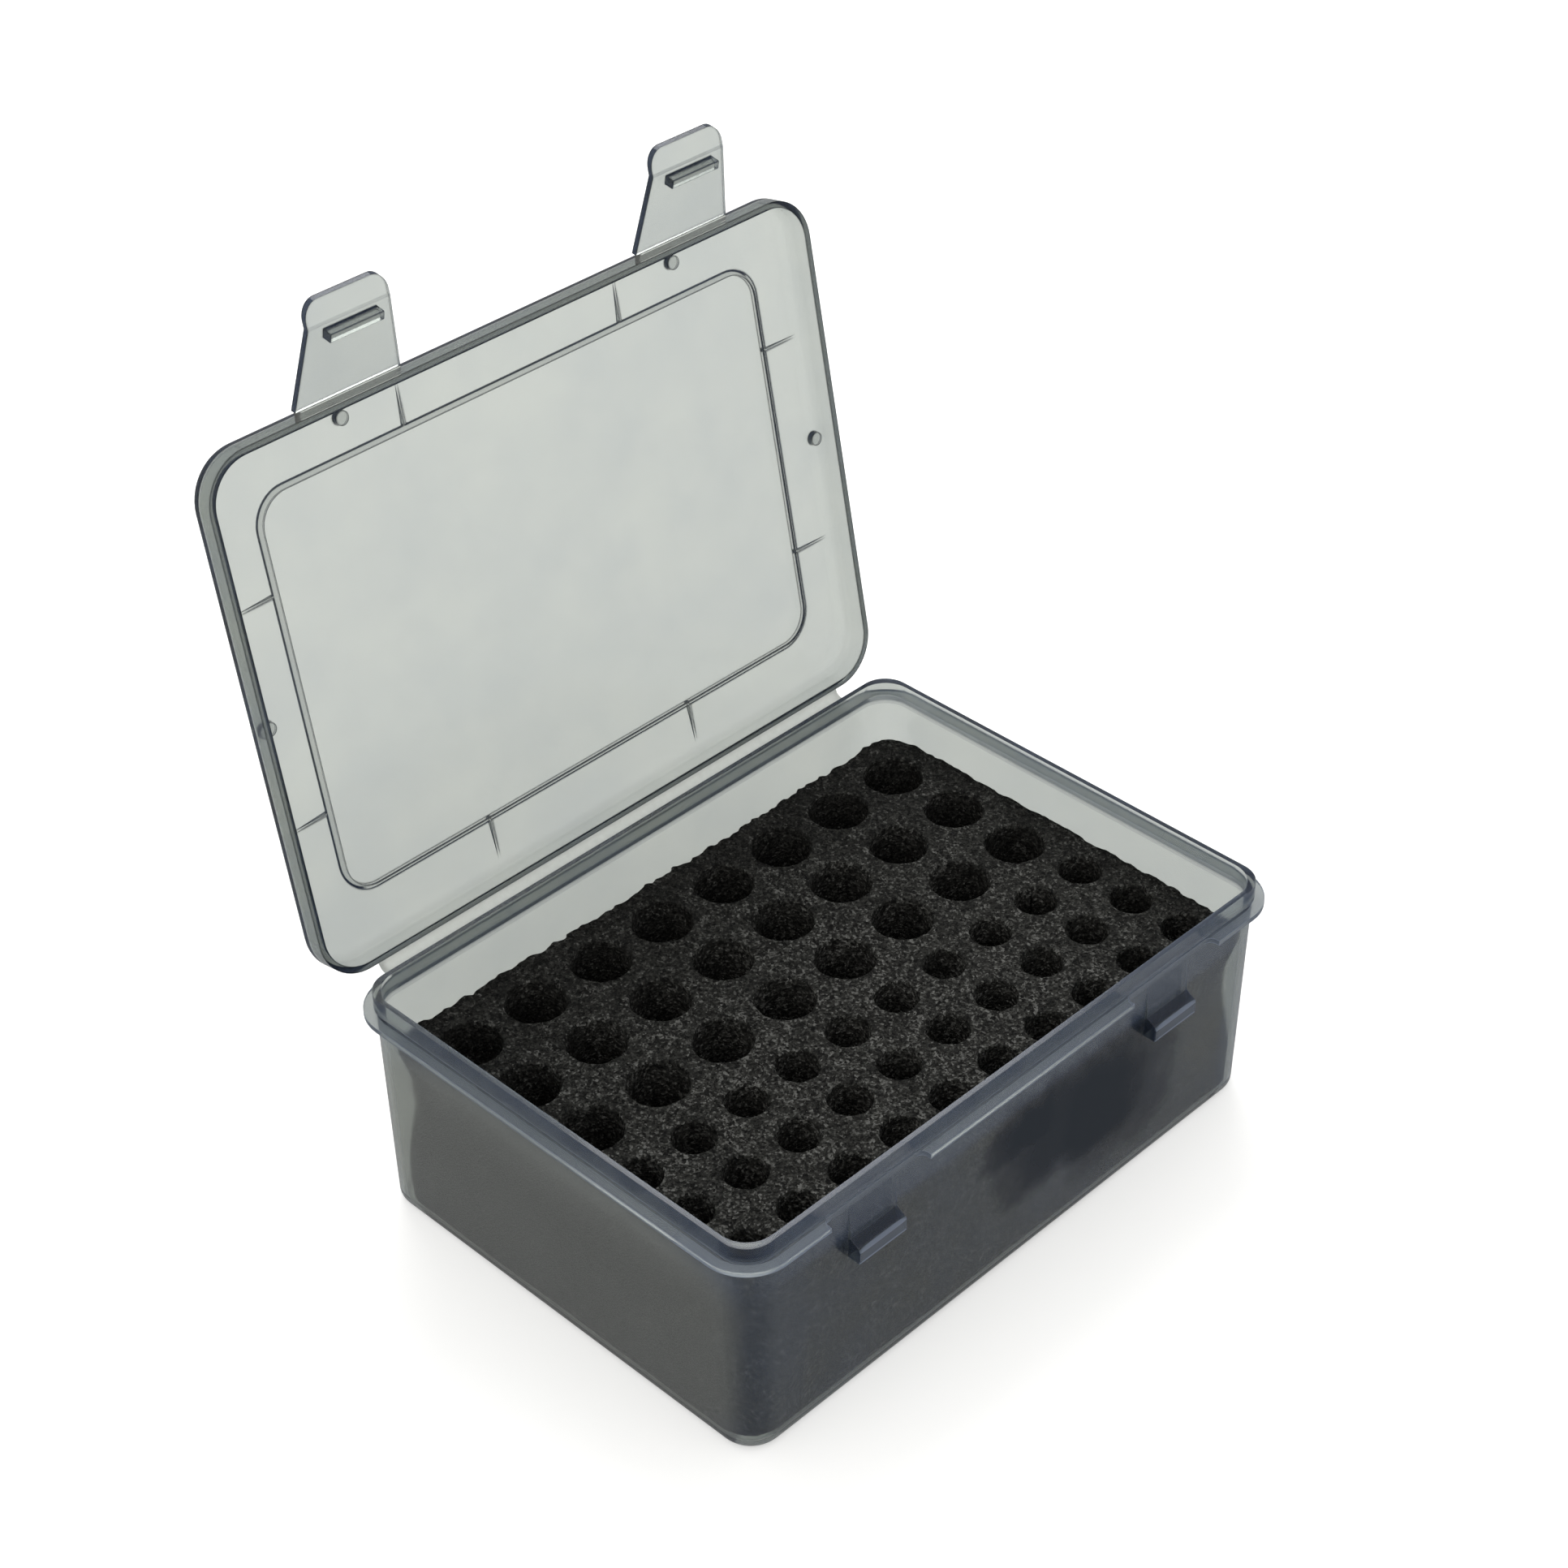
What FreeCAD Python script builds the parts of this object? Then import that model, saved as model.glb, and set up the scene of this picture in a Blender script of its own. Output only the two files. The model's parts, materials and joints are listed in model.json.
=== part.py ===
import FreeCAD, Part
import math
import os

# Hinged carrying case with two snap latches and a drilled foam insert for two sizes of round cells.
# Millimetres, +Z up, X along the hinge, the latches on the -Y side. The origin is the centre of the
# tub's underside. The lid is drawn closed and then turned back to where it stands open.

Vec = FreeCAD.Vector
along_x = Vec(1, 0, 0)
straight_up = Vec(0, 0, 1)

# Reach of every cutting shape past the face that it opens
overrun = 1.0

# Tub: rim sizes are outside sizes, and the wall below leans in towards the base
rim_length = 171.2
rim_width = 121.8
rim_corner = 6.8
rim_wall = 1.25
rim_height = 4.4
mouth_corner = 7.3
tub_height = 62.0
tub_wall = 1.5
wall_corner = 9.1
tub_draft = 1.0
floor_thickness = 1.6
rim_setback = 0.3
base_edge_radius = 3.0
floor_edge_bevel = 1.5

# Flange round the tub below the rim, with the outline that the lid also has
flange_reach = 3.1
flange_thickness = 1.3
flange_corner = 11.8
flange_gap_corner = 2.0

# Shallow panel under the base that leaves a foot ring, with the moulding's gate in its middle
foot_inset = 8.0
foot_depth = 0.4
foot_corner = 6.0
gate_diameter = 3.0
gate_height = 0.25

# Catches on the front wall, with a thin pad that runs from each one up to the flange
catch_width = 14.2
catch_reach = 3.7
catch_drop = 14.9
catch_face_height = 3.8
catch_slope_height = 1.8
catch_edge_radius = 0.5
pad_thickness = 0.7

# Lid: a plate with a skirt, its middle raised outwards in one step
lid_gap = 0.6
lid_depth = 6.8
lid_plate = 1.2
skirt_wall = 1.6
lid_edge_radius = 2.0
skirt_fillet = 1.4
panel_inset = 14.0
panel_rise = 1.3
panel_corner = 8.8
panel_wall = 1.2
panel_edge_bevel = 0.5

# Gussets between the raised panel and the margin, on the outside
gusset_length = 10.4
gusset_height = 1.2
gusset_thickness = 0.6
gusset_spacing_x = 64.4
gusset_spacing_y = 53.8

# Round stops under the lid's margin that keep it just off the rim
stop_diameter = 3.4
stop_clearance = 0.3
side_stop_inset = 3.9
front_stop_inset = 5.3
front_stop_spacing = 98.0

# Living hinge at the back
hinge_length = 149.4
hinge_reach = 2.09
hinge_drop = 0.3
film_thickness = 0.4
rest_opening = 100.9

# Latches: a tapered tab on a film, with a grip bent outwards and a bar that hooks under the catch
latch_spacing = 97.8
latch_width = 28.5
latch_bend_width = 21.9
latch_thickness = 1.45
latch_reach = 19.3
latch_film_length = 2.3
latch_side_gap = 0.95
grip_reach = 5.6
grip_corner = 4.0
grip_angle = 20.0
latch_fold = 20.0
hook_depth = 2.7
hook_thickness = 2.3
hook_edge_radius = 0.4
snap_clearance = 0.45

# Foam: a drilled block on an uncut backing sheet
foam_clearance = 0.3
foam_back_gap = 2.8
foam_corner = 8.6
backing_thickness = 4.9
block_height = 40.4

# Cell holes, punched as prisms of many sides whose flats lie on the named diameters. The first row
# is the one nearest the hinge.
hole_sides = 16
large_hole = 14.6
large_columns = 8
large_rows = 3
large_pitch_x = 20.0
large_pitch_y = 20.12
large_first_row = 42.96
small_hole = 10.3
small_columns = 10
small_rows = 3
small_pitch_x = 16.2
small_pitch_y = 15.86
small_first_row = -15.5

# Places that several pieces share
half_rim = Vec(rim_length / 2, rim_width / 2, 0)
flange_top = tub_height - rim_height
flange_bottom = flange_top - flange_thickness
half_lid = half_rim + Vec(flange_reach, flange_reach, 0)
lid_edge_height = flange_top + lid_gap
half_panel = half_lid - Vec(panel_inset, panel_inset, 0)
hinge_y = half_lid.y + hinge_reach
hinge_height = flange_top - hinge_drop
latch_pivot_y = -half_lid.y - latch_film_length / 2
latch_pivot_height = lid_edge_height + film_thickness / 2
catch_bottom = flange_bottom - catch_drop
foam_shift = (foam_back_gap - foam_clearance) / 2


def rounded_outline(half, radius, height):
    """A closed wire: a rectangle about the vertical axis with round corners."""
    x, y = half.x, half.y
    shift = radius * (1 - math.sqrt(0.5))
    sides = (
        (Vec(x, -y + radius, height), Vec(x, y - radius, height)),
        (Vec(x - radius, y, height), Vec(-x + radius, y, height)),
        (Vec(-x, y - radius, height), Vec(-x, -y + radius, height)),
        (Vec(-x + radius, -y, height), Vec(x - radius, -y, height)),
    )
    middles = (
        Vec(x - shift, y - shift, height),
        Vec(-x + shift, y - shift, height),
        Vec(-x + shift, -y + shift, height),
        Vec(x - shift, -y + shift, height),
    )
    edges = []
    for number, (start, end) in enumerate(sides):
        next_start = sides[(number + 1) % len(sides)][0]
        edges.append(Part.makeLine(start, end))
        edges.append(Part.Arc(end, middles[number], next_start).toShape())
    return Part.Wire(edges)


def rounded_block(half, radius, bottom, top):
    """A rectangular block with round upright corners."""
    face = Part.Face(rounded_outline(half, radius, bottom))
    return face.extrude(straight_up * (top - bottom))


def drafted_block(low_half, low_radius, bottom, high_half, high_radius, top):
    """A block whose sides lean in a straight line from one rounded rectangle to another."""
    outlines = [
        rounded_outline(low_half, low_radius, bottom),
        rounded_outline(high_half, high_radius, top),
    ]
    return Part.makeLoft(outlines, True, True)


def rounded_profile(corners):
    """A face in the YZ plane: a polygon of (y, z, radius) corners, each rounded by its radius."""
    points = [Vec(0, y, z) for y, z, radius in corners]
    arcs = []
    for number, (y, z, radius) in enumerate(corners):
        point = points[number]
        back = (points[number - 1] - point).normalize()
        ahead = (points[(number + 1) % len(points)] - point).normalize()
        half_angle = back.getAngle(ahead) / 2
        reach = radius / math.tan(half_angle)
        middle_reach = radius / math.sin(half_angle) - radius
        inwards = (back + ahead).normalize()
        arcs.append((point + back * reach, point + inwards * middle_reach, point + ahead * reach, radius))
    edges = []
    for number, (start, middle, end, radius) in enumerate(arcs):
        if radius > 0:
            edges.append(Part.Arc(start, middle, end).toShape())
        edges.append(Part.makeLine(end, arcs[(number + 1) % len(arcs)][0]))
    return Part.Face(Part.Wire(edges))


def extruded_across(face, width, centre_x):
    """A YZ face carried along X, half of the width to each side of the centre."""
    moved = face.translated(Vec(centre_x - width / 2, 0, 0))
    return moved.extrude(along_x * width)


def laid_flat(face):
    """A YZ face turned into the XY plane: Y becomes X, and Z becomes Y."""
    return face.rotated(Vec(0, 0, 0), Vec(1, 1, 1), -120)


def bent_strip(lead, radius, turn, width):
    """A film that leaves the origin along +Y and, after a straight lead, turns up by an angle."""
    half = film_thickness / 2
    centre = Vec(0, lead, radius)

    def on_arc(distance, share):
        angle = math.radians(turn * share)
        return centre + Vec(0, math.sin(angle), -math.cos(angle)) * distance

    under, over = radius + half, radius - half
    edges = [
        Part.Arc(on_arc(under, 0), on_arc(under, 0.5), on_arc(under, 1)).toShape(),
        Part.makeLine(on_arc(under, 1), on_arc(over, 1)),
        Part.Arc(on_arc(over, 1), on_arc(over, 0.5), on_arc(over, 0)).toShape(),
    ]
    if lead > 0:
        edges.append(Part.makeLine(on_arc(over, 0), Vec(0, 0, half)))
        edges.append(Part.makeLine(Vec(0, 0, half), Vec(0, 0, -half)))
        edges.append(Part.makeLine(Vec(0, 0, -half), on_arc(under, 0)))
    else:
        edges.append(Part.makeLine(on_arc(over, 0), on_arc(under, 0)))
    return extruded_across(Part.Face(Part.Wire(edges)), width, 0)


def wall_half(height):
    """Half sizes of the tub's outer wall at a height, up to the flange."""
    lean = tub_draft * (1 - height / flange_bottom)
    return half_rim + Vec(rim_setback - lean, rim_setback - lean, 0)


def cavity_half(height):
    """Half sizes of the tub's inner wall at a height."""
    low = wall_half(0) - Vec(tub_wall, tub_wall, 0)
    high = half_rim - Vec(rim_wall, rim_wall, 0)
    share = (height - floor_thickness) / (tub_height - floor_thickness)
    return low + (high - low) * share


def cavity_corner(height):
    """Radius of the tub's inner corners at a height."""
    return mouth_corner - (cavity_half(tub_height).x - cavity_half(height).x)


def edges_between(shape, low, high):
    """The edges of a shape that lie between two heights."""
    tolerance = shape.BoundBox.DiagonalLength * 1e-6
    return [
        edge
        for edge in shape.Edges
        if edge.BoundBox.ZMin > low - tolerance and edge.BoundBox.ZMax < high + tolerance
    ]


def tub_shell():
    """The drafted tub with its rim, rounded at the base and hollowed out."""
    low_corner = wall_corner - tub_draft
    body = drafted_block(
        wall_half(0), low_corner, 0, wall_half(flange_bottom), wall_corner, flange_bottom
    )
    body = body.makeFillet(base_edge_radius, edges_between(body, 0, 0))
    rim = rounded_block(half_rim, rim_corner, flange_bottom, tub_height)
    top = tub_height + overrun
    cavity = drafted_block(
        cavity_half(floor_thickness),
        cavity_corner(floor_thickness),
        floor_thickness,
        cavity_half(top),
        cavity_corner(top),
        top,
    )
    cavity = cavity.makeChamfer(floor_edge_bevel, edges_between(cavity, floor_thickness, floor_thickness))
    return body.fuse([rim, tub_flange()]).cut(cavity)


def tub_flange():
    """The flat flange, cut back to the wall where the latches swing past it."""
    flange = rounded_block(half_lid, flange_corner, flange_bottom, flange_top)
    wall = wall_half(flange_bottom)
    gap_width = latch_width + 2 * latch_side_gap
    gap_depth = half_lid.y - wall.y
    half_gap = Vec(gap_width / 2, gap_depth, 0)
    for side in (-1, 1):
        gap = rounded_block(half_gap, flange_gap_corner, flange_bottom - overrun, flange_top + overrun)
        flange = flange.cut(gap.translated(Vec(side * latch_spacing / 2, -wall.y - gap_depth, 0)))
    return flange


def front_catch(centre_x):
    """One catch: a flat underside, a face, a sloping top and the pad above it."""
    root = -wall_half(catch_bottom).y + tub_wall / 2
    face = -half_rim.y - catch_reach
    face_top = catch_bottom + catch_face_height
    slope_top = face_top + catch_slope_height
    pad = -wall_half(slope_top).y - pad_thickness
    rim = -wall_half(flange_bottom).y
    profile = rounded_profile(
        (
            (root, catch_bottom, 0),
            (face, catch_bottom, catch_edge_radius),
            (face, face_top, catch_edge_radius),
            (pad, slope_top, 0),
            (rim, flange_bottom, 0),
            (root, flange_bottom, 0),
        )
    )
    return extruded_across(profile, catch_width, centre_x)


def foot_panel():
    """The recess under the base, less the small gate in its middle."""
    half = wall_half(0) - Vec(foot_inset, foot_inset, 0)
    panel = rounded_block(half, foot_corner, -overrun, foot_depth)
    gate = Part.makeCylinder(gate_diameter / 2, gate_height, Vec(0, 0, foot_depth - gate_height))
    return panel.cut(gate)


def base_tub():
    tub = tub_shell().cut(foot_panel())
    catches = [front_catch(side * latch_spacing / 2) for side in (-1, 1)]
    return tub.fuse(catches).removeSplitter()


def lid_shell():
    """The lid's plate and skirt with the raised panel, the outer edges rounded, hollow below."""
    margin_top = lid_edge_height + lid_depth
    panel_top = margin_top + panel_rise
    outer = rounded_block(half_lid, flange_corner, lid_edge_height, margin_top)
    outer = outer.makeFillet(lid_edge_radius, edges_between(outer, margin_top, margin_top))
    panel = rounded_block(half_panel, panel_corner, margin_top - lid_plate, panel_top)
    panel = panel.makeChamfer(panel_edge_bevel, edges_between(panel, panel_top, panel_top))
    inside_top = margin_top - lid_plate
    skirt = Vec(skirt_wall, skirt_wall, 0)
    hollow = rounded_block(
        half_lid - skirt, flange_corner - skirt_wall, lid_edge_height - overrun, inside_top
    )
    hollow = hollow.makeFillet(skirt_fillet, edges_between(hollow, inside_top, inside_top))
    step = Vec(panel_wall, panel_wall, 0)
    recess = rounded_block(
        half_panel - step, panel_corner - panel_wall, inside_top - overrun, panel_top - lid_plate
    )
    return outer.fuse(panel).cut([hollow, recess])


def lid_gussets():
    """Thin triangular webs outside, from the raised panel down to the margin."""
    margin_top = lid_edge_height + lid_depth
    root = margin_top - lid_plate / 2
    gussets = []
    for sign in (-1, 1):
        for edge, spacing, turn in (
            (half_panel.y, gusset_spacing_x, 0),
            (half_panel.x, gusset_spacing_y, 90),
        ):
            inner = edge - panel_wall / 2
            profile = rounded_profile(
                (
                    (inner, root, 0),
                    (edge + gusset_length, root, 0),
                    (edge + gusset_length, margin_top, 0),
                    (edge, margin_top + gusset_height, 0),
                    (inner, margin_top + gusset_height, 0),
                )
            )
            web = extruded_across(profile, gusset_thickness, sign * spacing / 2)
            for half_turn in (0, 180):
                gussets.append(web.rotated(Vec(0, 0, 0), straight_up, turn + half_turn))
    return gussets


def lid_stops():
    """Round stops under the margin: one at each end and two at the front."""
    top = lid_edge_height + lid_depth - lid_plate
    bottom = tub_height + stop_clearance
    front_y = -half_lid.y + front_stop_inset
    centres = (
        (half_lid.x - side_stop_inset, 0),
        (-half_lid.x + side_stop_inset, 0),
        (front_stop_spacing / 2, front_y),
        (-front_stop_spacing / 2, front_y),
    )
    height = top - bottom + lid_plate / 2
    return [Part.makeCylinder(stop_diameter / 2, height, Vec(x, y, bottom)) for x, y in centres]


def opened(shape):
    """Turns a piece drawn on the closed lid back to where the lid stands open."""
    return shape.rotated(Vec(0, hinge_y, hinge_height), along_x, -rest_opening)


def lid_cover():
    return opened(lid_shell().fuse(lid_gussets() + lid_stops()).removeSplitter())


def hinge_film():
    """The living hinge, which leaves the flange level and curves up to the lid's edge."""
    edge = Part.Vertex(Vec(0, half_lid.y, lid_edge_height + film_thickness / 2))
    arrival = opened(edge).Point
    turn = 180 - rest_opening
    radius = (arrival.z - hinge_height) / (1 - math.cos(math.radians(turn)))
    lead = arrival.y - half_lid.y - radius * math.sin(math.radians(turn))
    film = bent_strip(lead, radius, turn, hinge_length)
    return film.translated(Vec(0, half_lid.y, hinge_height))


def folded(shape):
    """Turns a latch, drawn flat in the closed lid's plane, to how it hangs from the open lid."""
    return shape.rotated(Vec(0, latch_pivot_y, latch_pivot_height), along_x, latch_fold)


def latch_tab():
    """The tab and its bent grip: a side profile cut to a tapered plan with a round end."""
    root = -half_lid.y - latch_film_length
    bend = root - latch_reach
    tip = bend - grip_reach
    bottom = lid_edge_height
    top = bottom + latch_thickness
    rise = grip_reach * math.tan(math.radians(grip_angle))
    side = rounded_profile(
        (
            (root, bottom, 0),
            (root, top, 0),
            (bend, top, 0),
            (tip, top + rise, 0),
            (tip, bottom + rise, 0),
            (bend, bottom, 0),
        )
    )
    tab = extruded_across(side, latch_width, 0)
    half_root, half_bend = latch_width / 2, latch_bend_width / 2
    plan = rounded_profile(
        (
            (half_root, root, 0),
            (half_bend, bend, 0),
            (half_bend, tip, grip_corner),
            (-half_bend, tip, grip_corner),
            (-half_bend, bend, 0),
            (-half_root, root, 0),
        )
    )
    plan = laid_flat(plan).translated(Vec(0, 0, bottom - overrun))
    outline = plan.extrude(straight_up * (latch_thickness + rise + 2 * overrun))
    return tab.common(outline)


def latch_hook():
    """The bar across the tab that slips under the catch."""
    top = -latch_pivot_y + latch_pivot_height - (catch_bottom - snap_clearance)
    face = lid_edge_height - hook_depth
    root = lid_edge_height + latch_thickness / 2
    profile = rounded_profile(
        (
            (-top, root, 0),
            (-top, face, hook_edge_radius),
            (-top - hook_thickness, face, hook_edge_radius),
            (-top - hook_thickness, root, 0),
        )
    )
    return extruded_across(profile, catch_width, 0)


def latch(centre_x):
    tab = latch_tab().fuse(latch_hook()).removeSplitter()
    return opened(folded(tab.translated(Vec(centre_x, 0, 0))))


def latch_film(centre_x):
    """The film between the lid's edge and a latch, bent as the latch hangs."""
    radius = latch_film_length / 2 / math.tan(math.radians(latch_fold / 2))
    strip = bent_strip(0, radius, latch_fold, latch_width)
    strip = strip.rotated(Vec(0, 0, 0), along_x, 180)
    return opened(strip.translated(Vec(centre_x, -half_lid.y, latch_pivot_height)))


def foam_half(height):
    """Half sizes of the foam at a height: clear of the walls, and short of the back one."""
    return cavity_half(height) - Vec(foam_clearance, foam_clearance + foam_shift, 0)


def foam_backing():
    """The uncut sheet on the tub's floor, its lower edge bevelled like the tub's."""
    top = floor_thickness + backing_thickness
    sheet = rounded_block(foam_half(floor_thickness), foam_corner, floor_thickness, top)
    sheet = sheet.makeChamfer(floor_edge_bevel, edges_between(sheet, floor_thickness, floor_thickness))
    return sheet.translated(Vec(0, -foam_shift, 0))


def cell_holes(diameter, columns, rows, pitch_x, pitch_y, first_row, bottom, top):
    """A grid of upright holes, centred along X, its rows counted from the hinge side."""
    step = math.pi / hole_sides
    reach = diameter / 2 / math.cos(step)
    angles = [step * (2 * number + 1) for number in range(hole_sides)]
    corners = [Vec(math.cos(angle), math.sin(angle), 0) * reach for angle in angles]
    hole = Part.Face(Part.makePolygon(corners + corners[:1])).extrude(straight_up * (top - bottom))
    holes = []
    for row in range(rows):
        for column in range(columns):
            x = (column - (columns - 1) / 2) * pitch_x
            y = first_row - row * pitch_y
            holes.append(hole.translated(Vec(x, y, bottom)))
    return holes


def foam_insert():
    """The block with its two grids of cell holes: its sides follow the tub's walls."""
    bottom = floor_thickness + backing_thickness
    top = bottom + block_height
    low_corner = foam_corner - (cavity_half(top).x - cavity_half(bottom).x)
    block = drafted_block(foam_half(bottom), low_corner, bottom, foam_half(top), foam_corner, top)
    span = (bottom - overrun, top + overrun)
    holes = cell_holes(
        large_hole, large_columns, large_rows, large_pitch_x, large_pitch_y, large_first_row, *span
    )
    holes += cell_holes(
        small_hole, small_columns, small_rows, small_pitch_x, small_pitch_y, small_first_row, *span
    )
    return block.translated(Vec(0, -foam_shift, 0)).cut(holes)


def write(name, shape):
    """Saves one piece and prints what it is made of."""
    shape.exportStep("parts/" + name + ".step")
    print(name, len(shape.Solids), "solid", round(shape.Volume, 1), "mm3", shape.isValid())


os.makedirs("parts", exist_ok=True)
write("base_tub", base_tub())
write("lid_cover", lid_cover())
write("hinge_film", hinge_film())
for side_name, side in (("left", -1), ("right", 1)):
    write("latch_" + side_name, latch(side * latch_spacing / 2))
    write("latch_film_" + side_name, latch_film(side * latch_spacing / 2))
write("foam_insert", foam_insert())
write("foam_backing", foam_backing())
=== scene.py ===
import bmesh
import bpy
import json
import math
import numpy as np
from mathutils import Matrix, Vector


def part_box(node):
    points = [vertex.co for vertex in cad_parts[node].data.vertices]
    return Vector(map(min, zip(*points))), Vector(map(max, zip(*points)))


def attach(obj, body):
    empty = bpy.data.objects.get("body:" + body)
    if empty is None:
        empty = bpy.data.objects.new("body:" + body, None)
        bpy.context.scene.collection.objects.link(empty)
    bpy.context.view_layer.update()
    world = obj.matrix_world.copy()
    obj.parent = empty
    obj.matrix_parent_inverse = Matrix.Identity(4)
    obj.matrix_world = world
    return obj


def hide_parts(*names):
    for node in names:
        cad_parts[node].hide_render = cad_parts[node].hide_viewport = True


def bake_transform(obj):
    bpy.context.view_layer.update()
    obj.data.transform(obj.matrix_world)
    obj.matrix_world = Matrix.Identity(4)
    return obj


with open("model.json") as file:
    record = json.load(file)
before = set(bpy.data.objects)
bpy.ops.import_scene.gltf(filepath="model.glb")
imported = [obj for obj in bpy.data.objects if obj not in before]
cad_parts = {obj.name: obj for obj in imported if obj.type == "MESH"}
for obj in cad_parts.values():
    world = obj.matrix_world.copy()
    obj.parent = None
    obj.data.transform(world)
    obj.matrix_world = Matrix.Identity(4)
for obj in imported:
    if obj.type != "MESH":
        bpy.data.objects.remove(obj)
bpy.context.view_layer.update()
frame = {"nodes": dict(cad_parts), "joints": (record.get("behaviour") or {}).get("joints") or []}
print("frame loaded:", len(frame["nodes"]), "nodes")


# Small helpers

mergeWithin = 1e-6    # metres; points nearer than this become one
spotCore = 0.5        # share of a patch's reach that has its whole strength, unless the patch names its own
noiseReach = {"From_Min": 0.3, "From_Max": 0.7}    # nearly all of a noise texture's values lie between these


def srgbToLinear(hexColour):
    # sRGB hex string to linear red, green, blue, alpha
    parts = [int(hexColour[i:i + 2], 16) / 255 for i in (1, 3, 5)]
    return [p / 12.92 if p <= 0.04045 else ((p + 0.055) / 1.055) ** 2.4 for p in parts] + [1.0]


def newMaterial(name):
    material = bpy.data.materials.new(name)
    material.use_nodes = True
    material.node_tree.nodes.clear()
    return material


def addNode(material, kind, settings=None, **inputs):
    # one node with its settings; each input is a value, or another node's output to link,
    # and is named by its label, or by its number after an i
    node = material.node_tree.nodes.new(kind)
    for key, value in (settings or {}).items():
        setattr(node, key, value)
    for key, value in inputs.items():
        byNumber = key[0] == "i" and key[1:].isdigit()
        socket = node.inputs[int(key[1:]) if byNumber else key.replace("_", " ")]
        if isinstance(value, bpy.types.NodeSocket):
            material.node_tree.links.new(value, socket)
        else:
            socket.default_value = value
    return node


def paint(nodeName, material):
    slots = frame["nodes"][nodeName].data.materials
    slots.clear()
    slots.append(material)


def gridFaces(levels, count, first):
    # quads between neighbouring rings of a closed tube of rings
    ring, column = np.meshgrid(np.arange(levels - 1), np.arange(count), indexing="ij")
    following = (column + 1) % count
    quads = np.stack([ring * count + column, ring * count + following,
                      (ring + 1) * count + following, (ring + 1) * count + column], axis=-1)
    return (quads.reshape(-1, 4) + first).tolist()


def tidyNormals(mesh):
    # doubles merged and every face turned outwards
    work = bmesh.new()
    work.from_mesh(mesh)
    bmesh.ops.remove_doubles(work, verts=work.verts, dist=mergeWithin)
    bmesh.ops.recalc_face_normals(work, faces=work.faces)
    work.to_mesh(mesh)
    work.free()
    mesh.polygons.foreach_set("use_smooth", np.ones(len(mesh.polygons), bool))


def softSpot(material, place, patch):
    # a patch's strength in its core, fading to 0 at its reach. How far out a point lies is the square root
    # of the sum of the fourth powers of its distances from the centre, each in units of the reach.
    offset = addNode(material, "ShaderNodeVectorMath", {"operation": "SUBTRACT"},
                     i0=place, i1=patch["centre"])
    scaled = addNode(material, "ShaderNodeVectorMath", {"operation": "DIVIDE"},
                     i0=offset.outputs[0], i1=patch["reach"])
    square = addNode(material, "ShaderNodeVectorMath", {"operation": "MULTIPLY"},
                     i0=scaled.outputs[0], i1=scaled.outputs[0])
    away = addNode(material, "ShaderNodeVectorMath", {"operation": "LENGTH"}, i0=square.outputs[0])
    return addNode(material, "ShaderNodeMapRange", {"interpolation_type": "SMOOTHSTEP"},
                   Value=away.outputs["Value"], From_Min=patch.get("core", spotCore), From_Max=1.0,
                   To_Min=patch["strength"], To_Max=0.0).outputs[0]


# Camera, as the photograph was taken

cameraView = {
    "eye": (-0.40824, -0.39372, 0.52588),   # metres, in the case's own frame
    "azimuth": -46.194,                     # degrees
    "elevation": 36.745,
    "roll": -0.068,
    "lens": 73.94,                          # mm
    "sensor": 36,                           # mm
    "shift": (-0.02934, 0.00369),
    "clip": (0.01, 20),                     # metres
}


def makeCamera(view):
    azimuth, elevation, roll = (math.radians(view[key]) for key in ("azimuth", "elevation", "roll"))
    flat = math.cos(elevation)
    back = Vector((math.sin(azimuth) * flat, -math.cos(azimuth) * flat, math.sin(elevation)))
    right = Vector((math.cos(azimuth), math.sin(azimuth), 0))
    up = back.cross(right)
    tiltedRight = right * math.cos(roll) + up * math.sin(roll)
    tiltedUp = up * math.cos(roll) - right * math.sin(roll)
    data = bpy.data.cameras.new("photoCamera")
    data.sensor_width = view["sensor"]
    data.lens = view["lens"]
    data.shift_x, data.shift_y = view["shift"]
    data.clip_start, data.clip_end = view["clip"]
    camera = bpy.data.objects.new("photoCamera", data)
    turn = Matrix((tiltedRight, tiltedUp, back)).transposed().to_4x4()
    camera.matrix_world = Matrix.Translation(view["eye"]) @ turn
    bpy.context.scene.collection.objects.link(camera)
    bpy.context.scene.camera = camera


makeCamera(cameraView)
print("camera placed")


# Studio: a pale floor, soft lamps and a white surround

studioLight = {
    "floor": "#F0F0EE",
    "floorSize": 6.0,         # metres from its middle to each side
    "floorGlow": 0.32,        # added for the camera and through the plastic, so the floor shows white
    "floorWhite": 0.12,       # more of it for the camera alone
    # painted contact shadow: the floor's glow is left out where the case covers it
    "caseContactShadow": {"centre": (0, 0, 0), "reach": (0.0870, 0.0630, 1.0), "strength": 1.0, "core": 0.45},
    "floorShine": 0.37,       # its level where the plastic mirrors it
    "worldGrey": 0.78,        # light from the white surround
    "worldShine": 0.37,       # the same, where the plastic mirrors it
    # watts, metres across, where each lamp hangs, and its colour
    "lamps": {
        "keyLamp": {"power": 7.0, "size": 0.9, "place": (0.55, 0.75, 1.25), "colour": "#FFFFFF"},
        "fillLamp": {"power": 3.0, "size": 1.4, "place": (-1.5, -0.3, 0.9), "colour": "#FFF8EA"},
    },
    "lampTarget": (0, 0, 0.05),
}


def seenDirectly(material):
    # 1 for camera rays, also after they have passed through plastic, and 0 for the rest
    path = addNode(material, "ShaderNodeLightPath")
    return addNode(material, "ShaderNodeMath", {"operation": "MAXIMUM"},
                   i0=path.outputs["Is Camera Ray"], i1=path.outputs["Is Transmission Ray"]).outputs[0]


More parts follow.
